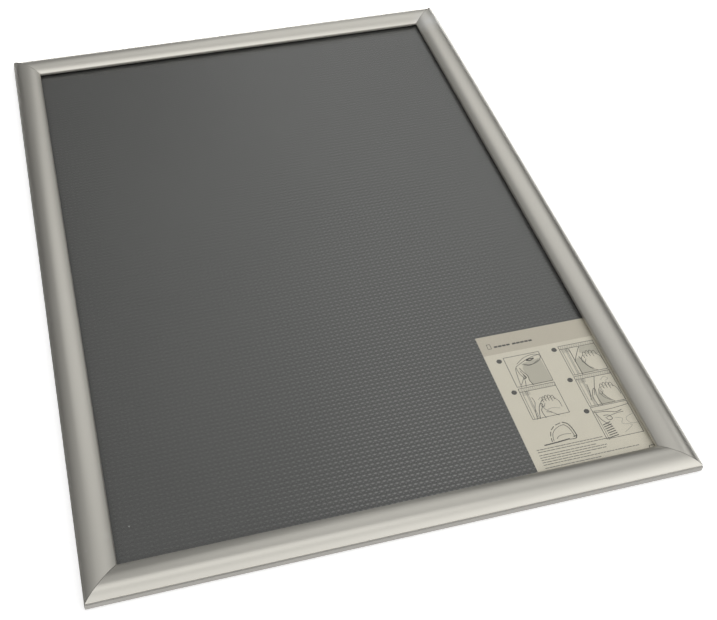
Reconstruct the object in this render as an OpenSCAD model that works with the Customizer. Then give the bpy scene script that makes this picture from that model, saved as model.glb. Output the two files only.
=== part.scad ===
// Snap-open poster frame: four mitred base rails with four hinged snap rails, held open or shut by bowed
// spring strips. Lying on its back, x across the short side, y along the long side, z out of the front.

/* [Overall] */
// Outer width across the short sides
frame_w = 450; // [360:1:700]
// Outer length along the long sides
frame_h = 624; // [520:1:1000]
// Depth from the back to the crown of the snap rails
frame_d = 12; // [11.5:0.5:16]
// Width of the rails from the outer face to the lip
rail_w = 25; // [23:0.5:35]

/* [Base rails] */
// Thickness of the base rail's floor and walls
base_t = 1; // [0.9:0.1:1.2]
// Radius of the lower outer edge
edge_r = 2.5; // [1.5:0.1:3]
// Distance of the stop wall from the outer face
stop_u = 11.8; // [11.5:0.1:13]
// Height of the stop wall
stop_z = 7.3; // [6.5:0.1:7.6]
// Gap that each base rail leaves at its mitre
base_gap = 0.05; // [0.02:0.01:0.2]

/* [Hinge] */
// Height of the hinge bead's centre
hinge_z = 6; // [5:0.1:6.5]
// Radius of the hinge bead
bead_r = 1; // [0.8:0.1:1.2]
// Running clearance around the bead
bead_clear = 0.06; // [0.03:0.01:0.09]
// Thickness of the claw around the bead
claw_t = 0.94; // [0.7:0.02:1.2]
// Opening angle of the snap rails
open_angle = 95; // [80:1:100]

/* [Snap rails] */
// Thickness of the skin
skin_t = 1.1; // [0.8:0.1:1.5]
// Setback of the skin's outer face from the base's outer face
skin_set = 0.75; // [0.5:0.05:0.9]
// Distance of the crown line from the outer face
crown_u = 11; // [9:0.5:14]
// Radius of the crown outside the crown line
outer_r = 17; // [15:1:30]
// Radius of the nose above the lip
nose_r = 1.2; // [1.2:0.1:3]
// Height of the nose's centre, where the fine line runs along the lip
nose_z = 6.9; // [6.5:0.1:7.5]
// Height of the lip's lower edge
lip_z = 5.2; // [4.5:0.1:6]
// Radius of the fine line
line_r = 0.25; // [0.1:0.05:0.4]
// Gap between the closing rib and the stop wall
close_gap = 0.1; // [0.05:0.05:0.3]
// Gap that each snap rail leaves at its mitre
snap_gap = 0.12; // [0.05:0.01:0.4]
// Distance of the claw's ends from the mitre
claw_back = 2; // [1:0.5:10]

/* [Springs] */
// Length of one spring strip along the rail
spring_len = 60; // [30:1:80]
// Thickness of the strip
spring_t = 0.5; // [0.3:0.1:0.7]
// Rise of the strip's bow
spring_bow = 1.1; // [0.8:0.1:1.6]
// Radius of the curled edge in its groove
curl_r = 0.35; // [0.3:0.05:0.4]
// Clearance of the curled edge in its groove
curl_clear = 0.05; // [0.03:0.01:0.08]
// Height of the spring groove in the stop wall
groove_z = 5.4; // [4.6:0.1:5.8]
// Radius of the notch in the claw
notch_r = 0.3; // [0.2:0.05:0.4]
// Distance between springs on a long side
long_pitch = 190; // [120:1:260]
// Distance between springs on a short side
short_pitch = 190; // [100:1:260]

/* [Corner keys] */
// Width of a key's legs
key_w = 6; // [4:0.5:6]
// Length of a key's legs
key_leg = 30; // [20:1:45]
// Thickness of a key
key_t = 1.5; // [1:0.1:1.8]
// Clearance around a key in its channel
key_clear = 0.1; // [0.05:0.05:0.3]
// Overhang of the channel's lips
lip_over = 0.8; // [0.4:0.1:1.2]

/* [Sheets] */
// Clearance of the sheets to the stop wall
sheet_clear = 0.2; // [0.1:0.1:1]
// Thickness of the back panel
panel_t = 1.5; // [1:0.1:2]
// Thickness of the clear cover sheet
cover_t = 0.5; // [0.3:0.1:1]
// Gap between the panel and the cover sheet
cover_gap = 0.15; // [0.11:0.01:0.5]
// Width of the leaflet
leaflet_w = 105; // [50:1:210]
// Height of the leaflet
leaflet_h = 148; // [50:1:297]
// Thickness of the leaflet
leaflet_t = 0.1; // [0.05:0.01:0.1]

/* [Wall holes] */
// Diameter of the holes for wall screws
hole_d = 5; // [3:0.5:5.5]
// Distance of the holes from the outer face
hole_u = 8.5; // [8:0.1:9]
// Distance of the holes from the corners
hole_end = 60; // [45:1:100]

/* [Hidden] */
hinge_u = bead_r;
seat_r = bead_r + bead_clear;
claw_r = seat_r + claw_t;
claw_end = hinge_u + claw_r + claw_back;
skin_z = hinge_z + seat_r;
nose_u = rail_w - nose_r;
nose_run = nose_u - crown_u;
nose_drop = frame_d - nose_z;
inner_r = (pow(nose_run, 2) + pow(nose_drop, 2) - pow(nose_r, 2)) / (2 * (nose_drop - nose_r));
neck_gap = 0.3;
neck_z = hinge_z - claw_r - neck_gap;
neck_t = min(base_t, bead_r);
groove_r = curl_r + curl_clear;
groove_u = stop_u - groove_r / 4;
groove_line = atan2(groove_z - hinge_z, groove_u - hinge_u);
notch_angle = groove_line - open_angle / 2;
notch_u = hinge_u + claw_r * cos(notch_angle);
notch_z = hinge_z + claw_r * sin(notch_angle);
spring_angle = atan2(notch_z - groove_z, notch_u - groove_u);
spring_end_gap = 0.1;
spring_chord = norm([groove_u - hinge_u, groove_z - hinge_z]) - claw_r - spring_end_gap;
bow_r = (pow(spring_chord / 2, 2) + pow(spring_bow, 2)) / (2 * spring_bow);
key_u = stop_u - key_clear - key_w;
channel_z = base_t + key_t + key_clear;
sheet_u = stop_u + base_t + sheet_clear;
sheet_w = frame_w - 2 * sheet_u;
sheet_h = frame_h - 2 * sheet_u;
panel_z = base_t;
leaflet_z = panel_z + panel_t;
cover_z = leaflet_z + cover_gap;
root2 = sqrt(2);
fine = 96;

// The four sides. Each draws its children with x along the rail, y inward from the outer face and z up.
module on_bottom() translate([0, -frame_h / 2, 0]) children();
module on_top() translate([0, frame_h / 2, 0]) rotate(180) children();
module on_left() translate([-frame_w / 2, 0, 0]) rotate(-90) children();
module on_right() translate([frame_w / 2, 0, 0]) rotate(90) children();

// Extrudes a section drawn as (inward, up) along the rail.
module along(length) {
    rotate([90, 0, 90]) linear_extrude(length, center = true) children();
}

// Outline of a rail from above, with a 45 degree mitre and a gap at both ends.
module mitre_block(length, gap) {
    half = length / 2 - gap * root2;
    translate([0, 0, -1])
        linear_extrude(frame_d + 2)
            polygon([[-half - 1, -1], [half + 1, -1], [half - rail_w - 1, rail_w + 1], [rail_w + 1 - half, rail_w + 1]]);
}

// Floor, outer wall with the hinge bead, stop wall with the spring groove, and the key channel.
module base_section() {
    translate([edge_r, 0]) square([rail_w - edge_r, base_t]);
    translate([0, edge_r]) square([base_t, neck_z - edge_r]);
    translate([0, neck_z]) square([neck_t, hinge_z - neck_z]);
    intersection() {
        difference() {
            translate([edge_r, edge_r]) circle(edge_r, $fn = fine);
            translate([edge_r, edge_r]) circle(edge_r - base_t, $fn = fine);
        }
        square(edge_r);
    }
    translate([hinge_u, hinge_z]) circle(bead_r, $fn = fine);
    difference() {
        translate([stop_u, 0]) square([base_t, stop_z]);
        translate([groove_u, groove_z]) circle(groove_r, $fn = fine);
    }
    translate([key_u - key_clear - base_t, 0]) square([base_t, channel_z + base_t]);
    translate([key_u - key_clear - base_t, channel_z]) square([base_t + lip_over, base_t]);
    translate([stop_u - lip_over, channel_z]) square([lip_over + base_t / 2, base_t]);
}

module base_rail(length) {
    color("#a9a79f")
        difference() {
            intersection() {
                along(length) base_section();
                mitre_block(length, base_gap);
            }
            for (end = [-1, 1])
                translate([end * (length / 2 - hole_end), hole_u, -1])
                    cylinder(d = hole_d, h = base_t + 2, $fn = fine);
        }
}

// Closed outline of the snap rail's outside, drawn in by inset.
module crown(inset) {
    edge_u = nose_u + nose_run;
    edge_z = nose_z + inner_r - nose_drop;
    intersection() {
        translate([crown_u, frame_d - outer_r]) circle(outer_r - inset, $fn = 2 * fine);
        translate([skin_set + inset, 0]) square([crown_u - skin_set - inset, frame_d]);
    }
    intersection() {
        translate([crown_u, frame_d - inner_r]) circle(inner_r - inset, $fn = 2 * fine);
        polygon([[crown_u, 0], [nose_u, 0], [nose_u, nose_z], [edge_u, edge_z], [crown_u, edge_z]]);
    }
    translate([nose_u, nose_z]) circle(nose_r - inset, $fn = fine);
    translate([crown_u, 0]) square([rail_w - inset - crown_u, nose_z]);
}

// Skin of the snap rail, with its lip, the fine line along the lip and the closing rib.
module skin_section() {
    difference() {
        crown(0);
        crown(skin_t);
        translate([-1, -1]) square([crown_u + 1, skin_z + 1]);
        translate([crown_u - 1, -1]) square([rail_w, lip_z + 1]);
        translate([rail_w, nose_z]) circle(line_r, $fn = 24);
    }
    intersection() {
        translate([stop_u, stop_z + close_gap]) square([base_t, frame_d]);
        crown(skin_t / 2);
    }
}

// Claw that hooks round the inside of the bead, with the notch for the springs.
module claw_section() {
    reach = 2 * claw_r;
    foot = 80;
    difference() {
        intersection() {
            translate([hinge_u, hinge_z]) circle(claw_r, $fn = fine);
            translate([hinge_u, hinge_z])
                polygon([[0, 0], [reach * cos(foot), -reach * sin(foot)], [reach, -reach], [reach, reach], [0, reach]]);
        }
        translate([hinge_u, hinge_z]) circle(seat_r, $fn = fine);
        translate([notch_u, notch_z]) circle(notch_r, $fn = 24);
    }
}

module snap_rail(length) {
    color("#c9c6bb") {
        intersection() {
            along(length) skin_section();
            mitre_block(length, snap_gap);
        }
        along(length - 2 * claw_end) claw_section();
    }
}

// Bowed strip with one edge curled into the groove and the other edge facing the notch.
module spring_section() {
    translate([groove_u, groove_z]) rotate(spring_angle) {
        circle(curl_r, $fn = 48);
        intersection() {
            translate([spring_chord / 2, bow_r - spring_bow]) difference() {
                circle(bow_r + spring_t / 2, $fn = 2 * fine);
                circle(bow_r - spring_t / 2, $fn = 2 * fine);
            }
            polygon([
                [spring_chord / 2, bow_r - spring_bow],
                [-spring_chord / 2, spring_bow - bow_r],
                [3 * spring_chord / 2, spring_bow - bow_r]
            ]);
        }
    }
}

module spring(place) {
    color("#8d9196") translate([place, 0, 0]) along(spring_len) spring_section();
}

// L-shaped key with its outer corner at the channel's outer corner.
module corner_key(mirror_x, mirror_y) {
    color("#7f848a")
        scale([mirror_x, mirror_y, 1])
            translate([-frame_w / 2, -frame_h / 2, base_t])
                linear_extrude(key_t)
                    translate([key_u, key_u]) {
                        square([key_leg, key_w]);
                        square([key_w, key_leg]);
                    }
}

// The rails
module base_rail_bottom() on_bottom() base_rail(frame_w);
module base_rail_top() on_top() base_rail(frame_w);
module base_rail_left() on_left() base_rail(frame_h);
module base_rail_right() on_right() base_rail(frame_h);
module snap_rail_bottom() on_bottom() snap_rail(frame_w);
module snap_rail_top() on_top() snap_rail(frame_w);
module snap_rail_left() on_left() snap_rail(frame_h);
module snap_rail_right() on_right() snap_rail(frame_h);

// The springs, three on a long side and two on a short side
module spring_left(n) on_left() spring((n - 2) * long_pitch);
module spring_right(n) on_right() spring((n - 2) * long_pitch);
module spring_bottom(n) on_bottom() spring((n - 1.5) * short_pitch);
module spring_top(n) on_top() spring((n - 1.5) * short_pitch);

// The sheets
module back_panel() {
    color("#4f5052") translate([-sheet_w / 2, -sheet_h / 2, panel_z]) cube([sheet_w, sheet_h, panel_t]);
}

module instruction_leaflet() {
    color("#cfc8b4")
        translate([sheet_w / 2 - leaflet_w, -sheet_h / 2, leaflet_z])
            cube([leaflet_w, leaflet_h, leaflet_t]);
}

module cover_sheet() {
    color("#dfe6e8", 0.2) translate([-sheet_w / 2, -sheet_h / 2, cover_z]) cube([sheet_w, sheet_h, cover_t]);
}

base_rail_bottom();
base_rail_top();
base_rail_left();
base_rail_right();
snap_rail_bottom();
snap_rail_top();
snap_rail_left();
snap_rail_right();
spring_left(1);  // spring_left_1
spring_left(2);  // spring_left_2
spring_left(3);  // spring_left_3
spring_right(1);  // spring_right_1
spring_right(2);  // spring_right_2
spring_right(3);  // spring_right_3
spring_bottom(1);  // spring_bottom_1
spring_bottom(2);  // spring_bottom_2
spring_top(1);  // spring_top_1
spring_top(2);  // spring_top_2
corner_key(1, 1);  // corner_key_bl
corner_key(-1, 1);  // corner_key_br
corner_key(1, -1);  // corner_key_tl
corner_key(-1, -1);  // corner_key_tr
back_panel();
instruction_leaflet();
cover_sheet();
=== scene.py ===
import math
import random

import bmesh
import bpy
from mathutils import Matrix, Vector


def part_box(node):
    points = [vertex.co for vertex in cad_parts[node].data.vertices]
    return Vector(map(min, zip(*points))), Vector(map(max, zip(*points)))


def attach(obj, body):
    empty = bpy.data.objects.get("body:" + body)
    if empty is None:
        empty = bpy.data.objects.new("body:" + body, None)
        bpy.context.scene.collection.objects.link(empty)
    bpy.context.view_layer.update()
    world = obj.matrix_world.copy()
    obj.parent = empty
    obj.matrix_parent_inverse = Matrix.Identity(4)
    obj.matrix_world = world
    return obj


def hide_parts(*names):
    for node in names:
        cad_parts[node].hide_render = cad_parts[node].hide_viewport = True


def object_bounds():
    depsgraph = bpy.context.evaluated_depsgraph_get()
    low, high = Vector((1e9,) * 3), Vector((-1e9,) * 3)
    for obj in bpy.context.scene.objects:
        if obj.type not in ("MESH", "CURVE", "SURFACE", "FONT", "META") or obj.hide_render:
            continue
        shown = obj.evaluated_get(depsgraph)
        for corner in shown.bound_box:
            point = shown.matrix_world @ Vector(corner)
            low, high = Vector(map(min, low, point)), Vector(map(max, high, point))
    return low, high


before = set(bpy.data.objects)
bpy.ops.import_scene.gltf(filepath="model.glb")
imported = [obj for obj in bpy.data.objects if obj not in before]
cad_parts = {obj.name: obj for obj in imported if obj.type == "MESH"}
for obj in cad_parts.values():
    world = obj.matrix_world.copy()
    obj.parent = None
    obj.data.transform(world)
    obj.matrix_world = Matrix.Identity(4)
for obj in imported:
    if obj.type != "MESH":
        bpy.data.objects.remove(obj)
cadBox = [list(corner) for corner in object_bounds()]
low, high = Vector(cadBox[0]), Vector(cadBox[1])
frameWidth, frameHeight, frameDepth = (high - low) * 1000  # millimetres, as every outline below
mm = 0.001
print("frame loaded", round(frameWidth), "x", round(frameHeight), "mm")


class Wire:
    # a socket that can be added, multiplied and compared in an expression
    def __init__(self, kit, socket):
        self.kit = kit
        self.socket = socket

    def math(self, operation, *others):
        inputs = {i: value for i, value in enumerate((self, *others))}
        return self.kit.node("ShaderNodeMath", {"operation": operation}, inputs).out()

    def __add__(self, other):
        return self.math("ADD", other)

    def __radd__(self, other):
        return self.math("ADD", other)

    def __sub__(self, other):
        return self.math("SUBTRACT", other)

    def __rsub__(self, other):
        return self.math("MULTIPLY", -1.0).math("ADD", other)

    def __mul__(self, other):
        return self.math("MULTIPLY", other)

    def __truediv__(self, other):
        return self.math("DIVIDE", other)

    def __pow__(self, other):
        return self.math("POWER", other)


class Made:
    # a node just made, from which sockets are taken by name or number
    def __init__(self, kit, node):
        self.kit = kit
        self.made = node

    def out(self, name=0):
        return Wire(self.kit, self.made.outputs[name])


class Finish:
    # the node tree of one material, or of the world
    def __init__(self, name, kept=bpy.data.materials, place="Object"):
        self.material = kept.new(name)
        self.material.use_nodes = True
        self.tree = self.material.node_tree
        self.tree.nodes.clear()
        self.place = self.node("ShaderNodeTexCoord").out(place)

    def node(self, kind, settings=None, inputs=None):
        made = self.tree.nodes.new(kind)
        for key, value in (settings or {}).items():
            if key == "stops":
                while len(made.color_ramp.elements) < len(value):
                    made.color_ramp.elements.new(0.5)
                for element, (position, shade) in zip(made.color_ramp.elements, value):
                    element.position = position
                    element.color = (shade, shade, shade, 1)
            else:
                setattr(made, key, value)
        for key, value in (inputs or {}).items():
            if isinstance(value, Wire):
                self.tree.links.new(value.socket, made.inputs[key])
            else:
                made.inputs[key].default_value = value
        return Made(self, made)

    def axes(self):
        split = self.node("ShaderNodeSeparateXYZ", None, {0: self.place})
        return split.out(0), split.out(1), split.out(2)

    def stretched(self, scale, move=(0, 0, 0)):
        inputs = {"Vector": self.place, "Scale": scale, "Location": move}
        return self.node("ShaderNodeMapping", None, inputs).out()

    def noise(self, scale, detail=3, roughness=0.5, move=(0, 0, 0)):
        spot = self.stretched(scale, move)
        inputs = {"Vector": spot, "Scale": 1.0, "Detail": detail, "Roughness": roughness}
        return self.node("ShaderNodeTexNoise", None, inputs).out(0)

    def ramp(self, value, stops):
        return self.node("ShaderNodeValToRGB", {"stops": stops}, {0: value}).out(0)

    def blendColours(self, factor, first, second):
        settings = {"data_type": "RGBA", "blend_type": "MIX"}
        mixed = self.node("ShaderNodeMix", settings, {0: factor, 6: first, 7: second})
        return mixed.out(2)

    def relief(self, height, depth, strength=1.0):
        inputs = {"Height": height, "Distance": depth, "Strength": strength}
        return self.node("ShaderNodeBump", None, inputs).out()

    def done(self, shader, output="ShaderNodeOutputMaterial"):
        self.node(output, None, {0: shader})
        return self.material


def rgb(r, g, b):
    return (r, g, b, 1.0)


aluminiumLook = {
    "snap": rgb(0.67, 0.65, 0.59),
    # painted shade: the base rails are coloured darker than the snap rails to stand for the shade on their
    # outer wall
    "base": rgb(0.35, 0.338, 0.313),
    "smudge": rgb(0.74, 0.735, 0.71),
    "roughness": 0.32,
    "drawLines": 0.01,  # how much the fine drawing lines change the roughness
    "lineDepth": 0.0000012,
    "wavesAlong": 6,  # waves per metre along the rail and across it
    "wavesAcross": 900,
    "patches": 0.15,  # how strongly the large pale patches show
    "wornRoughness": 0.12,
    "wornMetal": 0.3,
    "handled": [
        # where fingers left a pale cloud or a fleck: place, reach, strength
        ((0.2125, 0.283, 0.0115), 0.021, 1.6),
        ((-0.2186, -0.2741, 0.0105), 0.0016, 1.5),
        ((-0.2038, -0.2642, 0.0095), 0.004, 0.35),
    ],
}


def anodisedAluminium(name, lengthAxis, shade, look=aluminiumLook):
    finish = Finish(name)
    lineScale = [look["wavesAcross"]] * 3
    lineScale[lengthAxis] = look["wavesAlong"]
    lines = finish.noise(lineScale, 4, 0.6)
    grain = finish.noise((2600, 2600, 2600), 2, 0.5)
    clouds = finish.noise((70, 70, 70), 5, 0.62, (0.31, 0.12, 0))
    patches = finish.ramp(finish.noise((22, 22, 22), 4, 0.6), [(0.6, 0.0), (0.8, 1.0)])
    worn = patches * look["patches"]
    for place, reach, strength in look["handled"]:
        settings = {"operation": "DISTANCE"}
        away = finish.node("ShaderNodeVectorMath", settings, {0: finish.place, 1: place}).out("Value")
        near = (1.0 - away / reach).math("MAXIMUM", 0.0)
        worn = worn + near * clouds * strength
    worn = worn.math("MINIMUM", 1.0)
    roughness = look["roughness"] + (lines - 0.5) * look["drawLines"] * 2 + worn * look["wornRoughness"]
    height = lines * 0.5 + grain * 0.3
    inputs = {
        "Base Color": finish.blendColours(worn, look[shade], look["smudge"]),
        "Metallic": 1.0 - worn * look["wornMetal"],
        "Roughness": roughness,
        "Normal": finish.relief(height, look["lineDepth"]),
    }
    return finish.done(finish.node("ShaderNodeBsdfPrincipled", None, inputs).out())


panelLook = {
    "colour": rgb(0.068, 0.0667, 0.0641),
    "paintedSheenColour": rgb(0.095, 0.0932, 0.09),
    "sheenAcross": 1.6,  # painted sheen, paler towards the upper right
    "sheenUp": 0.9,
    "roughness": 0.34,
    "pitchX": 0.00427,
    "pitchY": 0.0040,
    "dash": (0.0012, 0.00062),  # half sizes of the raised dash
    "dot": (0.00055, 0.00045),
    "dotMove": (0.5, -0.35),  # in pitches from the dash
    "dotHeight": 0.6,
    "grainHeight": 0.02,
    "depth": 0.00008,
    "paintedHighlightColour": rgb(0.29, 0.285, 0.277),  # painted highlight on top of the raised bumps
    "fleck": (-0.188, -0.2565, 0.0025),
    "fleckRadius": 0.0006,
    "fleckColour": rgb(0.3, 0.3, 0.29),
    "highlightsAt": (0.035, -0.265),  # painted highlights strongest in the middle of the lower end
    "highlightsReach": (0.095, 0.26),
    "highlightsLean": 0.16,  # the belt of painted highlights leans right on its way up
    "highlightsLeast": 0.15,
}


def embossedPlastic(name, look=panelLook):
    finish = Finish(name)
    x, y, z = finish.axes()

    def bump(moveX, moveY, halfX, halfY):
        cellX = ((x / look["pitchX"] + (100.5 - moveX)).math("FRACT") - 0.5) * (look["pitchX"] / halfX)
        cellY = ((y / look["pitchY"] + (100.5 - moveY)).math("FRACT") - 0.5) * (look["pitchY"] / halfY)
        return ((cellX * cellX + cellY * cellY) * -1.0).math("EXPONENT")

    dashes = bump(0, 0, *look["dash"])
    dots = bump(*look["dotMove"], *look["dot"])
    grain = finish.noise((1500, 1500, 1500), 3, 0.5)
    haze = finish.noise((5, 5, 5), 4, 0.6)
    raised = dashes + dots * look["dotHeight"]
    # painted highlights: the raised bumps are tinted paler, most of all near the lower end
    up = y - look["highlightsAt"][1]
    aside = (x - look["highlightsAt"][0] - up * look["highlightsLean"]) / look["highlightsReach"][0]
    paintedHighlightShare = ((aside * aside + up / look["highlightsReach"][1]) * -1.0).math("EXPONENT")
    paintedHighlightShare = paintedHighlightShare.math("MINIMUM", 1.0) + look["highlightsLeast"]
    settings = {"operation": "DISTANCE"}
    away = finish.node("ShaderNodeVectorMath", settings, {0: finish.place, 1: look["fleck"]}).out("Value")
    fleck = away.math("LESS_THAN", look["fleckRadius"])
    # painted sheen: the panel is painted paler towards the upper right, with random haze mixed in
    paintedSheenAndTone = (haze + x * look["sheenAcross"] + y * look["sheenUp"]).math("MINIMUM", 1.0).math("MAXIMUM", 0.0)
    plain = finish.blendColours(paintedSheenAndTone, look["colour"], look["paintedSheenColour"])
    plain = finish.blendColours(fleck, plain, look["fleckColour"])
    inputs = {
        "Base Color": finish.blendColours((raised * paintedHighlightShare).math("MINIMUM", 1.0), plain, look["paintedHighlightColour"]),
        "Roughness": look["roughness"] + (haze - 0.5) * 0.08,
        "Specular IOR Level": 0.5,
        "Normal": finish.relief(raised + grain * look["grainHeight"], look["depth"]),
    }
    return finish.done(finish.node("ShaderNodeBsdfPrincipled", None, inputs).out())


leafletLook = {
    "paper": rgb(0.86, 0.795, 0.67),
    "band": rgb(0.68, 0.615, 0.51),
    "bandDepth": 0.0197,
    "mottle": 0.12,
    "mottleColour": rgb(0.55, 0.5, 0.38),
}


def printedPaper(name, top, look=leafletLook):
    finish = Finish(name)
    x, y, z = finish.axes()
    band = y.math("GREATER_THAN", top - look["bandDepth"])
    fibres = finish.noise((900, 900, 900), 4, 0.6)
    mottle = finish.noise((60, 60, 60), 3, 0.5)
    ground = finish.blendColours(band, look["paper"], look["band"])
    inputs = {
        "Base Color": finish.blendColours(mottle * look["mottle"], ground, look["mottleColour"]),
        "Roughness": 0.62 + (fibres - 0.5) * 0.1,
        "Specular IOR Level": 0.3,
        "Normal": finish.relief(fibres, 0.00001),
    }
    return finish.done(finish.node("ShaderNodeBsdfPrincipled", None, inputs).out())


def printInk(name, shade):
    finish = Finish(name)
    coverage = finish.noise((1400, 1400, 1400), 2, 0.5)  # thin ink lets some paper show
    inputs = {
        "Base Color": finish.blendColours(coverage * 0.2, rgb(*shade), leafletLook["paper"]),
        "Roughness": 0.6,
        "Specular IOR Level": 0.3,
    }
    return finish.done(finish.node("ShaderNodeBsdfPrincipled", None, inputs).out())


filmLook = {
    "tint": rgb(0.97, 0.975, 0.97),
    "roughness": 0.3,
    "waveDepth": 0.0008,
    "mirrored": 0.04,  # the share mirrored when seen straight on
}


def clearFilm(name, look=filmLook):
    finish = Finish(name)
    waves = finish.noise((7, 5, 5), 2, 0.4)
    soft = finish.relief(waves, look["waveDepth"])
    inputs = {"Roughness": look["roughness"], "Normal": soft}
    gloss = finish.node("ShaderNodeBsdfAnisotropic", None, inputs).out()
    clear = finish.node("ShaderNodeBsdfTransparent", None, {"Color": look["tint"]}).out()
    facing = finish.node("ShaderNodeLayerWeight", None, {"Blend": 0.5}).out("Facing")
    rim = facing**5 * (1 - look["mirrored"]) + look["mirrored"]
    mixed = finish.node("ShaderNodeMixShader", None, {0: rim, 1: clear, 2: gloss}).out()
    return finish.done(mixed)


def temperedSteel(name, colour, roughness):
    finish = Finish(name)
    rolled = finish.noise((300, 300, 300), 4, 0.6)
    stains = finish.ramp(finish.noise((45, 45, 45), 4, 0.6), [(0.4, 0.0), (0.7, 1.0)])
    inputs = {
        "Base Color": finish.blendColours(stains * 0.5, colour, rgb(0.3, 0.29, 0.27)),
        "Metallic": 1.0,
        "Roughness": roughness + rolled * 0.12,
        "Normal": finish.relief(rolled, 0.00001),
    }
    return finish.done(finish.node("ShaderNodeBsdfPrincipled", None, inputs).out())


def paleFloor(name, glow, glowBehind):
    finish = Finish(name)
    x, y, z = finish.axes()
    behind = ((y - 0.315) / 0.06).math("MAXIMUM", 0.0).math("MINIMUM", 1.0)
    tone = finish.noise((1.5, 1.5, 1.5), 2, 0.5)
    near, far = (rgb(level, level, level) for level in (glow, glowBehind))
    inputs = {
        "Base Color": finish.blendColours(tone, rgb(0.93, 0.93, 0.93), rgb(0.95, 0.95, 0.95)),
        "Roughness": 0.9,
        "Specular IOR Level": 0.1,
        "Emission Color": finish.blendColours(behind, near, far),
        "Emission Strength": 1.0,
    }
    return finish.done(finish.node("ShaderNodeBsdfPrincipled", None, inputs).out())


aluminium = {}
for shade in ("snap", "base"):
    for lengthAxis, pair in enumerate((("bottom", "top"), ("left", "right"))):
        made = anodisedAluminium(f"{shade} aluminium along {'xy'[lengthAxis]}", lengthAxis, shade)
        for side in pair:
            aluminium[shade, side] = made
springFinish = temperedSteel("spring steel", rgb(0.42, 0.42, 0.43), 0.3)
keyFinish = temperedSteel("plated steel", rgb(0.5, 0.5, 0.5), 0.34)
print("materials made")


railSection = {
    "width": 25.0,
    "skinThickness": 1.1,
    "skinSetback": 0.75,
    "crownAt": 11.0,
    "outerRadius": 17.0,
    "noseRadius": 1.2,
    "noseHeight": 6.9,  # the fine line runs at this height
    "lipHeight": 5.2,
    "lineRadius": 0.25,
    "stopAt": 11.8,
    "stopHeight": 7.3,
    "closeGap": 0.1,
    "wall": 1.0,
    "edgeRadius": 2.5,
    "hingeHeight": 6.0,
    "beadRadius": 1.0,
    "seatRadius": 1.06,
    "clawRadius": 2.0,
    "clawEnd": 5.0,
    "clawFoot": 80,
    "notchRadius": 0.3,
    "grooveAt": (11.7, 5.4),
    "grooveRadius": 0.4,
    "keyWidth": 6.0,
    "keyGap": 0.1,
    "keyThickness": 1.5,
    "channelLip": 0.8,
    "snapGap": 0.12,
    "baseGap": 0.05,
    "holeRadius": 2.5,
    "holeAt": 8.5,
    "holeFromEnd": 60.0,
}
sides = {
    "bottom": {"turn": 0, "move": (0, -frameHeight / 2, 0), "length": frameWidth},
    "top": {"turn": 180, "move": (0, frameHeight / 2, 0), "length": frameWidth},
    "left": {"turn": -90, "move": (-frameWidth / 2, 0, 0), "length": frameHeight},
    "right": {"turn": 90, "move": (frameWidth / 2, 0, 0), "length": frameHeight},
}


class Outline:
    # a closed outline drawn as (inward, up), filled and pulled along the rail
    def __init__(self, bm, inward, up):
        self.bm = bm
        self.first = bm.verts.new((0, inward, up))
        self.last = self.first
        self.before = set(bm.verts) - {self.first}

    def lineTo(self, inward, up):
        made = bmesh.ops.extrude_vert_indiv(self.bm, verts=[self.last])
        self.last = made["verts"][0]
        self.last.co = (0, inward, up)

    def arc(self, centre, degrees, steps):
        made = bmesh.ops.spin(
            self.bm,
            geom=[self.last],
            cent=(0, centre[0], centre[1]),
            axis=(1, 0, 0),
            angle=math.radians(degrees),
            steps=steps,
        )
        self.last = [item for item in made["geom_last"] if isinstance(item, bmesh.types.BMVert)][0]

    def pull(self, length):
        self.lineTo(self.first.co.y, self.first.co.z)
        drawn = [v for v in self.bm.verts if v not in self.before]
        bmesh.ops.remove_doubles(self.bm, verts=drawn, dist=0.0005)
        edges = [e for e in self.bm.edges if not e.link_faces]
        face = bmesh.ops.contextual_create(self.bm, geom=edges)["faces"]
        pulled = bmesh.ops.extrude_face_region(self.bm, geom=face)["geom"]
        moved = [item for item in pulled if isinstance(item, bmesh.types.BMVert)]
        bmesh.ops.translate(self.bm, verts=moved, vec=(length, 0, 0))
        every = [v for v in self.bm.verts if v not in self.before]
        bmesh.ops.translate(self.bm, verts=every, vec=(-length / 2, 0, 0))


def arcHeight(centre, radius, inward):
    return centre[1] + math.sqrt(radius**2 - (inward - centre[0]) ** 2)


def arcAngle(centre, point):
    return math.degrees(math.atan2(point[1] - centre[1], point[0] - centre[0]))


def mitre(bm, length, gap):
    # cuts both ends at 45 degrees and closes them
    for end in (-1, 1):
        spot = (end * (length / 2 - gap * math.sqrt(2)), 0, 0)
        everything = bm.verts[:] + bm.edges[:] + bm.faces[:]
        cut = bmesh.ops.bisect_plane(
            bm, geom=everything, dist=0.0001, plane_co=spot, plane_no=(end, 1, 0), clear_outer=True
        )
        rim = [item for item in cut["geom_cut"] if isinstance(item, bmesh.types.BMEdge)]
        bmesh.ops.holes_fill(bm, edges=rim, sides=0)


def placed(bm, name):
    # an object in the scene from a finished bmesh
    mesh = bpy.data.meshes.new(name)
    bm.to_mesh(mesh)
    bm.free()
    made = bpy.data.objects.new(name, mesh)
    bpy.context.scene.collection.objects.link(made)
    return made


def drilled(bm, spots, radius):
    # the same shape with upright holes through it
    bits = bmesh.new()
    for spot in spots:
        matrix = Matrix.Translation(spot)
        bmesh.ops.create_cone(
            bits, cap_ends=True, segments=32, radius1=radius, radius2=radius, depth=6, matrix=matrix
        )
    bmesh.ops.recalc_face_normals(bm, faces=bm.faces)
    blank, drill = placed(bm, "blank"), placed(bits, "drill")
    cut = blank.modifiers.new("drilled", "BOOLEAN")
    cut.object = drill
    cut.solver = "EXACT"
    made = bmesh.new()
    made.from_object(blank, bpy.context.evaluated_depsgraph_get())
    for spare in (blank, drill):
        bpy.data.meshes.remove(spare.data)
    return made


edgeLook = {"sharpAngle": 28, "bevelAngle": 40, "bevelSegments": 2}


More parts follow.
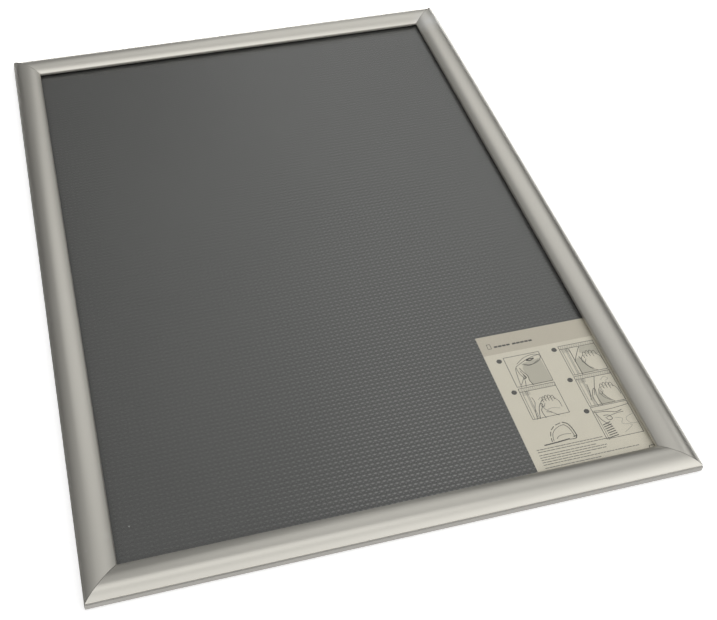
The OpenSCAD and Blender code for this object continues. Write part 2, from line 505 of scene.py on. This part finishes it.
def finishPiece(bm, name, side, material, body, node, softening=0.0):
    place = sides.get(side)
    if place:
        turn = Matrix.Rotation(math.radians(place["turn"]), 3, "Z")
        bmesh.ops.rotate(bm, verts=bm.verts, cent=(0, 0, 0), matrix=turn)
        bmesh.ops.translate(bm, verts=bm.verts, vec=place["move"])
    bmesh.ops.scale(bm, verts=bm.verts, vec=(mm, mm, mm))
    bmesh.ops.recalc_face_normals(bm, faces=bm.faces)
    piece = placed(bm, name)
    piece.data.shade_smooth()
    piece.data.set_sharp_from_angle(angle=math.radians(edgeLook["sharpAngle"]))
    piece.data.materials.append(material)
    if softening:
        bevel = piece.modifiers.new("softened edges", "BEVEL")
        bevel.width = softening * mm
        bevel.segments = edgeLook["bevelSegments"]
        bevel.limit_method = "ANGLE"
        bevel.angle_limit = math.radians(edgeLook["bevelAngle"])
        bevel.harden_normals = True
    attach(piece, body)
    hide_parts(node)
    return piece


def snapRail(side, s=railSection):
    bm = bmesh.new()
    length = sides[side]["length"]
    outerCentre = (s["crownAt"], frameDepth - s["outerRadius"])
    noseRadius = s["noseRadius"]
    noseCentre = (s["width"] - noseRadius, s["noseHeight"])
    run, drop = noseCentre[0] - s["crownAt"], frameDepth - noseCentre[1]
    innerRadius = (run**2 + drop**2 - noseRadius**2) / (2 * (drop - noseRadius))
    innerCentre = (s["crownAt"], frameDepth - innerRadius)
    noseAngle = arcAngle(innerCentre, noseCentre)
    wallTop = arcHeight(outerCentre, s["outerRadius"], s["skinSetback"])
    skinFoot = s["hingeHeight"] + s["seatRadius"]
    inside = s["skinSetback"] + s["skinThickness"]
    thickness = s["skinThickness"]
    lineTop = s["noseHeight"] + s["lineRadius"]
    ridge = Outline(bm, s["skinSetback"], skinFoot)
    ridge.lineTo(s["skinSetback"], wallTop)
    ridge.arc(outerCentre, 90 - arcAngle(outerCentre, (s["skinSetback"], wallTop)), 18)
    ridge.arc(innerCentre, noseAngle - 90, 16)
    noseEnd = math.degrees(math.asin((lineTop - noseCentre[1]) / noseRadius))
    ridge.arc(noseCentre, noseEnd - noseAngle, 12)
    ridge.lineTo(s["width"], lineTop)
    ridge.arc((s["width"], s["noseHeight"]), 180, 8)
    ridge.lineTo(s["width"], s["lipHeight"])
    ridge.lineTo(s["width"] - thickness, s["lipHeight"])
    ridge.lineTo(s["width"] - thickness, noseCentre[1])
    ridge.arc(noseCentre, noseAngle, 6)
    stopOuter, stopInner = s["stopAt"], s["stopAt"] + s["wall"]
    under = innerRadius - thickness
    ribTop = arcHeight(innerCentre, under, stopInner)
    ridge.arc(innerCentre, arcAngle(innerCentre, (stopInner, ribTop)) - noseAngle, 12)
    ridge.lineTo(stopInner, s["stopHeight"] + s["closeGap"])
    ridge.lineTo(stopOuter, s["stopHeight"] + s["closeGap"])
    ribTop = arcHeight(innerCentre, under, stopOuter)
    ridge.lineTo(stopOuter, ribTop)
    ridge.arc(innerCentre, 90 - arcAngle(innerCentre, (stopOuter, ribTop)), 2)
    under = s["outerRadius"] - thickness
    footTop = arcHeight(outerCentre, under, inside)
    ridge.arc(outerCentre, arcAngle(outerCentre, (inside, footTop)) - 90, 12)
    ridge.lineTo(inside, skinFoot)
    ridge.pull(length + 2)
    mitre(bm, length, s["snapGap"])
    hinge = (s["beadRadius"], s["hingeHeight"])
    claw = Outline(bm, hinge[0], hinge[1] + s["clawRadius"])
    claw.arc(hinge, -90 - s["clawFoot"], 28)
    foot = math.radians(-s["clawFoot"])
    claw.lineTo(hinge[0] + s["seatRadius"] * math.cos(foot), hinge[1] + s["seatRadius"] * math.sin(foot))
    claw.arc(hinge, 90 + s["clawFoot"], 28)
    claw.pull(length - 2 * s["clawEnd"])
    return finishPiece(
        bm,
        f"snapRail_{side}",
        side,
        aluminium["snap", side],
        f"{side}_snap_rail",
        f"snap_rail_{side}",
        softening=0.12,
    )


def baseRail(side, s=railSection):
    bm = bmesh.new()
    length = sides[side]["length"]
    wall, edge = s["wall"], s["edgeRadius"]
    hinge = (s["beadRadius"], s["hingeHeight"])
    keyAt = s["stopAt"] - s["keyGap"] - s["keyWidth"]
    channelTop = wall + s["keyThickness"] + s["keyGap"]
    groove = s["grooveAt"]
    grooveReach = math.acos((s["stopAt"] - groove[0]) / s["grooveRadius"])
    grooveHalf = s["grooveRadius"] * math.sin(grooveReach)
    body = Outline(bm, edge, 0)
    body.lineTo(s["width"], 0)
    body.lineTo(s["width"], wall)
    body.lineTo(s["stopAt"] + wall, wall)
    body.lineTo(s["stopAt"] + wall, s["stopHeight"])
    body.lineTo(s["stopAt"], s["stopHeight"])
    body.lineTo(s["stopAt"], groove[1] + grooveHalf)
    body.arc(groove, -2 * math.degrees(grooveReach), 10)
    body.lineTo(s["stopAt"], channelTop + wall)
    body.lineTo(s["stopAt"] - s["channelLip"], channelTop + wall)
    body.lineTo(s["stopAt"] - s["channelLip"], channelTop)
    body.lineTo(s["stopAt"], channelTop)
    body.lineTo(s["stopAt"], wall)
    ribInner = keyAt - s["keyGap"]
    body.lineTo(ribInner, wall)
    body.lineTo(ribInner, channelTop)
    body.lineTo(ribInner + s["channelLip"], channelTop)
    body.lineTo(ribInner + s["channelLip"], channelTop + wall)
    body.lineTo(ribInner - wall, channelTop + wall)
    body.lineTo(ribInner - wall, wall)
    body.lineTo(edge, wall)
    body.arc((edge, edge), -90, 8)
    body.lineTo(wall, hinge[1] - s["beadRadius"])
    body.arc(hinge, 270, 30)
    body.lineTo(0, edge)
    body.arc((edge, edge), 90, 12)
    body.pull(length + 2)
    mitre(bm, length, s["baseGap"])
    holes = [(end * (length / 2 - s["holeFromEnd"]), s["holeAt"], 0) for end in (-1, 1)]
    bm = drilled(bm, holes, s["holeRadius"])
    return finishPiece(
        bm, f"baseRail_{side}", side, aluminium["base", side], "frame", f"base_rail_{side}", softening=0.1
    )


for side in sides:
    snapRail(side)
    baseRail(side)
print("rails made")

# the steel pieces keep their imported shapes
for name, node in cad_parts.items():
    if name.startswith("spring"):
        node.data.materials.clear()
        node.data.materials.append(springFinish)
    if name.startswith("corner_key"):
        node.data.materials.clear()
        node.data.materials.append(keyFinish)
print("springs and keys finished")


def sheetPiece(name, node, material):
    corner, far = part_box(node)
    bm = bmesh.new()
    bmesh.ops.create_cube(bm, size=1.0)
    bmesh.ops.scale(bm, verts=bm.verts, vec=(far - corner) / mm)
    bmesh.ops.translate(bm, verts=bm.verts, vec=(far + corner) / 2 / mm)
    return finishPiece(bm, name, None, material, "frame", node)


sheetPiece("backPanel", "back_panel", embossedPlastic("embossed plastic"))
leafletLow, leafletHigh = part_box("instruction_leaflet")
sheetPiece("leaflet", "instruction_leaflet", printedPaper("leaflet paper", leafletHigh.y))
sheetPiece("coverSheet", "cover_sheet", clearFilm("clear film"))
print("sheets made")

printLook = {
    "height": 0.02,  # ink stands this far above the paper
    "thin": 0.46,
    "seed": 4,
    "bandDepth": 3.4,  # the hatched wall along the top of a picture
    "pictures": [(14.6, 25.0), (14.6, 57.3), (61.9, 24.2), (61.9, 56.2), (61.9, 87.8)],
    "pictureSize": (30.1, 30.4),
    "bulletMove": (-4.2, 2.4),
    "bulletRadius": 2.2,
    "rowsFrom": (6.6, 115.2),
    "rowPitch": 2.15,
    "rowEnds": (60, 66, 52, 61, 57, 46, 84, 50, 85, 47),
    "rowWidth": 0.62,
    "wordGap": 0.75,
    "paragraphGap": 0.7,
    "lastOfParagraph": (1, 6),
}


class Pen:
    # draws flat strokes in millimetres from the leaflet's top left corner, x right and y down
    def __init__(self, height):
        self.bm = bmesh.new()
        self.home = Vector((leafletLow.x, leafletHigh.y, leafletHigh.z)) / mm + Vector((0, 0, height))

    def spot(self, x, y):
        return self.home + Vector((x, -y, 0))

    def line(self, start, end, width=printLook["thin"]):
        a, b = self.spot(*start), self.spot(*end)
        run = b - a
        turn = Matrix.Rotation(math.atan2(run.y, run.x), 4, "Z")
        size = Matrix.Diagonal((run.length + width * 0.6, width, 1, 1))
        matrix = Matrix.Translation((a + b) / 2) @ turn @ size
        bmesh.ops.create_grid(self.bm, x_segments=1, y_segments=1, size=0.5, matrix=matrix)

    def path(self, points, width=printLook["thin"]):
        for start, end in zip(points, points[1:]):
            self.line(start, end, width)

    def curve(self, points, width=printLook["thin"], steps=5):
        # a smooth stroke through the points
        knots = [Vector(p) for p in (points[0], *points, points[-1])]
        drawn = [points[0]]
        for a, b, c, d in zip(knots, knots[1:], knots[2:], knots[3:]):
            for step in range(1, steps + 1):
                t = step / steps
                bend = (c - a) * t + (2 * a - 5 * b + 4 * c - d) * t**2 + (3 * b - a - 3 * c + d) * t**3
                drawn.append(b + bend / 2)
        self.path(drawn, width)

    def box(self, left, top, right, bottom, width=printLook["thin"]):
        self.path([(left, top), (right, top), (right, bottom), (left, bottom), (left, top)], width)

    def patch(self, points):
        corners = [self.bm.verts.new(self.spot(*p)) for p in points]
        bmesh.ops.contextual_create(self.bm, geom=corners)

    def disc(self, centre, radius):
        matrix = Matrix.Translation(self.spot(*centre))
        bmesh.ops.create_circle(self.bm, cap_ends=True, segments=20, radius=radius, matrix=matrix)

    def done(self, name, material):
        bmesh.ops.scale(self.bm, verts=self.bm.verts, vec=(mm, mm, mm))
        for face in self.bm.faces:
            if face.normal.z < 0:
                face.normal_flip()
        piece = placed(self.bm, name)
        piece.data.materials.append(material)
        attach(piece, "frame")
        return piece


class Drawing:
    # one drawing, in millimetres from its own top left corner
    def __init__(self, left, top):
        self.left, self.top = left, top
        self.width, self.depth = printLook["pictureSize"]

    def boxed(self):
        darkPen.box(self.left, self.top, self.left + self.width, self.top + self.depth)
        move = printLook["bulletMove"]
        darkPen.disc((self.left + move[0], self.top + move[1]), printLook["bulletRadius"])
        return self

    def moved(self, points):
        return [(self.left + x, self.top + y) for x, y in points]

    def curve(self, *points, width=printLook["thin"], pen=None):
        (pen or darkPen).curve(self.moved(points), width)

    def shade(self, *points):
        shadePen.patch(self.moved(points))

    def wall(self):
        # the hatched wall and the rails at the left
        band = printLook["bandDepth"]
        self.curve((0, band), (self.width, band))
        for stroke in range(19):
            x = 0.6 + stroke * 1.55
            self.curve((x, band), (x + 1.4, band / 2), (x + 1.9, 0), width=0.24, pen=greyPen)
        for inset in (1.7, 4.6, 5.6):
            self.curve((inset, band), (inset, self.depth), width=0.3)
        for stroke in range(5):
            self.curve((1.7, band + stroke * 0.9), (7.6, band + 0.5 + stroke * 0.7), width=0.22, pen=greyPen)

    def hand(self, x, y, size=1.0):
        # four bent fingers, a thumb and the back of a hand
        def at(*points):
            return [(x + a * size, y + b * size) for a, b in points]

        for finger in range(4):
            f = finger * 2.7
            lift = abs(finger - 1.4) * 0.9
            rising = (f - 1.2, 6 + lift), (f - 1.3, 2 + lift), (f, lift)
            knuckle = at(*rising, (f + 1.2, 1.6 + lift), (f + 1.2, 4.6 + lift))
            self.curve(*knuckle, width=0.42)
            self.curve(*at((f - 0.6, 3.4 + lift), (f + 0.1, 2.9 + lift), (f + 0.7, 3.5 + lift)), width=0.24)
        self.curve(*at((-1.3, 4), (-3.6, 6.5), (-4.6, 10.5), (-2.6, 11.4), (-0.6, 8.2)), width=0.4)
        self.curve(*at((-3.8, 10.8), (-2.4, 15), (1.6, 18.6)), width=0.4)
        self.curve(*at((9.6, 5), (12, 9), (12.4, 15)), width=0.4)


darkPen = Pen(printLook["height"])
greyPen = Pen(printLook["height"] * 0.8)
shadePen = Pen(printLook["height"] * 0.5)
chance = random.Random(printLook["seed"])
opened, pushed, lifted, slid, shut = [Drawing(*corner).boxed() for corner in printLook["pictures"]]

# a rail is swung open by hand, with the shaded panel beyond
opened.shade((13.5, 8.5), (28.8, 6.2), (29.6, 30.8), (12.5, 31.2), (11.2, 14))
opened.curve((3.4, 31.4), (4.4, 20), (6.2, 11.8), (11.6, 8.4), (20.5, 4.4), (29.8, 2.6), width=0.42)
rolled = [(8.6, 8.2), (15.5, 3.6), (24.5, 1.6), (29.8, 4.6), (26, 9.6), (19.5, 11.2), (12.4, 9.4)]
opened.curve(*rolled, width=0.42)
opened.curve((6.4, 12), (6.9, 18), (8.8, 24), (7.2, 31.3), width=0.42)
opened.curve((8.8, 12.6), (10.6, 17.5), (12.4, 21.5), (12.1, 26), (13.6, 31.3), width=0.55)
opened.curve((4.2, 29), (7.4, 24.4), (9.6, 20.6), (8.4, 15.6), width=0.42)
opened.curve((17.2, 6.2), (20.6, 5.4), (23.6, 5.6), (19.8, 7.2), (17.2, 6.4), width=0.9)
opened.curve((9.4, 19.6), (10.6, 22.6), (9.2, 23.6), width=0.9)
opened.curve((14, 10.4), (17.5, 11.8), (22, 10.6), (26.6, 8.2), width=0.5)

for picture in (pushed, lifted, slid):
    picture.wall()

# two hands press a rail
pushed.hand(15.6, 10.4, 0.9)
pushed.curve((3.6, 31.2), (5.2, 22.4), (7.8, 15.2), (7.2, 10.2), width=0.42)
pushed.curve((10.6, 31.2), (9.9, 24), (12.8, 19.2), (11.4, 17.2), (8.4, 22.4), (6, 31), width=0.5)
pushed.curve((12.8, 25.8), (16.8, 27.4), (21.4, 31.2), width=0.42)
pushed.curve((11.4, 13.6), (14, 11.6), (15.2, 13.6), (13.2, 15.6), width=0.26, pen=greyPen)
pushed.curve((14.6, 24), (19.5, 23.4), (25, 25.2), width=0.26, pen=greyPen)

# the clear sheet is lifted at its edge
lifted.shade((16.4, 3.8), (29.6, 3.8), (29.6, 14.2), (16.8, 11.2), (14.4, 9.6))
lifted.shade((8, 15.8), (13.2, 13.8), (16.6, 24.2), (19.8, 30.8), (8, 31.2))
lifted.hand(17.6, 8.8)
lifted.curve((7.2, 17.8), (12.4, 9.6), (16.4, 3.8), width=0.5)
lifted.curve((12.4, 13.4), (14.2, 20.4), (17.4, 27.2), (21.8, 30), width=0.5)
lifted.curve((7.6, 4.4), (7.8, 18), (8, 31.4), width=0.6)

# the poster slides under it
slid.shade((13.8, 17.2), (17.4, 24.6), (21, 31), (8.4, 31.2), (10, 22))
slid.hand(17.2, 10.4, 0.95)
slid.curve((8.8, 20.6), (12.2, 11.8), (15.6, 3.8), width=0.5)
slid.curve((3.8, 24.8), (6, 17.6), (6.8, 9.6), width=0.5)
slid.curve((10.4, 31.2), (9.8, 22.6), (11.2, 16), (9.6, 15.2), (6.4, 22.4), (7, 31.2), width=0.5)
slid.curve((14.6, 16.8), (16.6, 24.4), (21.8, 30.4), width=0.42)
slid.curve((19.4, 7.8), (22.6, 5.4), (25.4, 7.8), (22.8, 9.4), width=0.26, pen=greyPen)

# the last rail is closed, with a striped sleeve at the corner
shut.curve((0.4, 3.6), (12, 4.6), (29.8, 3.2), width=0.42)
shut.curve((0.4, 5), (10, 6.2), (17.4, 8.2), (22.6, 7.2), width=0.5)
shut.curve((8.6, 11.2), (17.2, 9.4), (23, 9.2), width=0.42)
shut.curve((1.8, 6.2), (4.2, 13.6), (9, 19.6), width=0.5)
shut.curve((6.6, 9.4), (10.6, 9.8), (12.4, 13.2), (9.4, 14.2), (7.6, 11.4), width=0.5)
shut.curve((1.7, 4), (1.7, 31.4), width=0.3)
for stripe in range(7):
    shut.curve((2.6 + stripe * 0.15, 17.6 + stripe * 2), (9 + stripe * 0.2, 16 + stripe * 2.1), width=0.75)
shut.curve((14.6, 13.2), (19.6, 15.2), (17.6, 19.6), (24.4, 22.6), (16.4, 27.6), width=0.24, pen=greyPen)
shut.curve((29.6, 12.4), (22.6, 15.4), (24.2, 20.6), (29.6, 21.4), width=0.24, pen=greyPen)

# a rail's section, arched, on its thick base line
section = Drawing(12.2, 93.8)
dashEnds = [(8.7, 16.7), (9.2, 13.6), (9.6, 11.6), (11, 8), (12.2, 6.3), (15.2, 3.7), (17, 2.8), (21.2, 1.8)]
for start, end in zip(dashEnds[::2], dashEnds[1::2]):
    section.curve(start, end, width=0.6)
section.curve((10.2, 16.5), (11.5, 11), (14.5, 7), (19, 4.6), (23.4, 3.8), width=0.4)
section.curve((23, 1.5), (26.2, 3.6), (28.2, 8.4), (29, 15.4), width=0.75)
section.curve((23.2, 3.8), (25.8, 7.4), (26.9, 12), (27.2, 15.8), width=0.5)
section.curve((26.4, 15.9), (29, 15.9), width=0.9)
section.curve((1.9, 18.4), (12, 18), (22.3, 17.2), width=1.0)
section.curve((22.3, 17.7), (27.1, 17.9), (28.7, 16.2), width=0.6)
section.curve((13.4, 14.9), (15.8, 13), (20.6, 12.3), (25.4, 13), width=0.45, pen=greyPen)

# rows of dashes stand for the small print, and blocks for the heading
for row, rowEnd in enumerate(printLook["rowEnds"]):
    x, y = printLook["rowsFrom"]
    y += row * printLook["rowPitch"]
    y += sum(printLook["paragraphGap"] for last in printLook["lastOfParagraph"] if row > last)
    end = rowEnd + chance.uniform(-1.5, 1.5)
    while x < end:
        word = chance.uniform(1.4, 4.4)
        greyPen.line((x, y), (min(x + word, end), y), printLook["rowWidth"])
        x += word + printLook["wordGap"]
darkPen.box(6.4, 8.6, 9.2, 13.4, 0.42)
for block in range(9):
    x = 12.2 + block * 3.5 + (1.6 if block > 3 else 0)
    darkPen.line((x, 12.3), (x + 1.9, 12.3), 1.7)
loop = [(90.2, 131.4), (94.2, 131.8), (94.8, 136.2), (90.4, 136.6), (89.6, 133.6), (90.2, 131.4)]
darkPen.curve(loop, 0.5)
darkPen.curve([(91.2, 135), (92.4, 133.2), (93.8, 134.8)], 0.45)
shadePen.done("leafletPrintShade", printInk("shade ink", (0.6, 0.56, 0.465)))
greyPen.done("leafletPrintGrey", printInk("grey ink", (0.13, 0.125, 0.115)))
darkPen.done("leafletPrintDark", printInk("dark ink", (0.03, 0.03, 0.033)))
print("leaflet printed")

studio = {
    "floorSize": 8.0,
    "floorDrop": 0.0003,
    "floorGlow": 0.42,  # lit from below, as a light table is
    "floorGlowBehind": 3.0,  # brighter past the far rail
    "skyGlows": [
        # azimuth, elevation, sharpness, strength
        (0, 90, 2, 0.51),
        (225, 35, 6, 1.13),
        (135, 35, 6, 1.2),
        (270, 35, 6, 0.18),
        (0, 35, 6, 0.06),
    ],
    "softboxSize": (1.5, 0.9),
    "softboxDistance": 2.0,
    "softboxes": {
        # azimuth, elevation, power
        "overhead": (0, 90, 2.4),
        "back high": (22, 50, 1.8),
        "back": (30, 30, 1.75),
        "back low": (0, 12, 1.0),
        "right": (90, 38, 3.4),
    },
}


def around(azimuth, elevation, distance=1.0, centre=(0, 0, 0)):
    # azimuth clockwise from +Y seen from above
    a, e = math.radians(azimuth), math.radians(elevation)
    way = Vector((math.sin(a) * math.cos(e), math.cos(a) * math.cos(e), math.sin(e)))
    return Vector(centre) + way * distance


bm = bmesh.new()
bmesh.ops.create_grid(bm, x_segments=1, y_segments=1, size=studio["floorSize"] / 2)
bmesh.ops.translate(bm, verts=bm.verts, vec=(0, 0, -studio["floorDrop"]))
floor = placed(bm, "floor")
floor.data.materials.append(paleFloor("floor", studio["floorGlow"], studio["floorGlowBehind"]))

sky = Finish("studio", bpy.data.worlds, "Generated")
glow = 0.0
for azimuth, elevation, sharpness, strength in studio["skyGlows"]:
    settings = {"operation": "DOT_PRODUCT"}
    inputs = {0: sky.place, 1: around(azimuth, elevation)}
    facing = sky.node("ShaderNodeVectorMath", settings, inputs).out("Value")
    glow = facing.math("MAXIMUM", 0.0) ** sharpness * strength + glow
shade = sky.node("ShaderNodeBackground", None, {"Color": rgb(1, 1, 1), "Strength": glow}).out()
bpy.context.scene.world = sky.done(shade, "ShaderNodeOutputWorld")

for name, (azimuth, elevation, power) in studio["softboxes"].items():
    lamp = bpy.data.lights.new(name, "AREA")
    lamp.shape = "RECTANGLE"
    lamp.size, lamp.size_y = studio["softboxSize"]
    lamp.energy = power
    softbox = bpy.data.objects.new(name, lamp)
    softbox.location = around(azimuth, elevation, studio["softboxDistance"])
    softbox.rotation_euler = (-softbox.location).to_track_quat("-Z", "Y").to_euler()
    bpy.context.scene.collection.objects.link(softbox)

cameraPlace = {
    "aim": (-0.0021, -0.0870, 0.0),
    "azimuth": 16.03,
    "elevation": 47.27,
    "roll": 1.56,
    "distance": 0.9216,
    "lens": 55.78,
    "shiftX": 0.0478,
    "shiftY": -0.0023,
}
cameraData = bpy.data.cameras.new("camera")
cameraData.lens = cameraPlace["lens"]
cameraData.shift_x = cameraPlace["shiftX"]
cameraData.shift_y = cameraPlace["shiftY"]
cameraData.clip_start = 0.01
camera = bpy.data.objects.new("camera", cameraData)
turnAround = Matrix.Rotation(math.radians(-cameraPlace["azimuth"]), 4, "Z")
tilt = Matrix.Rotation(math.radians(90 - cameraPlace["elevation"]), 4, "X")
roll = Matrix.Rotation(math.radians(cameraPlace["roll"]), 4, "Z")
spot = around(
    cameraPlace["azimuth"] + 180, cameraPlace["elevation"], cameraPlace["distance"], cameraPlace["aim"]
)
camera.matrix_world = Matrix.Translation(spot) @ turnAround @ tilt @ roll
bpy.context.scene.collection.objects.link(camera)
bpy.context.scene.camera = camera
bpy.context.scene.view_settings.view_transform = "Standard"
print("studio ready")
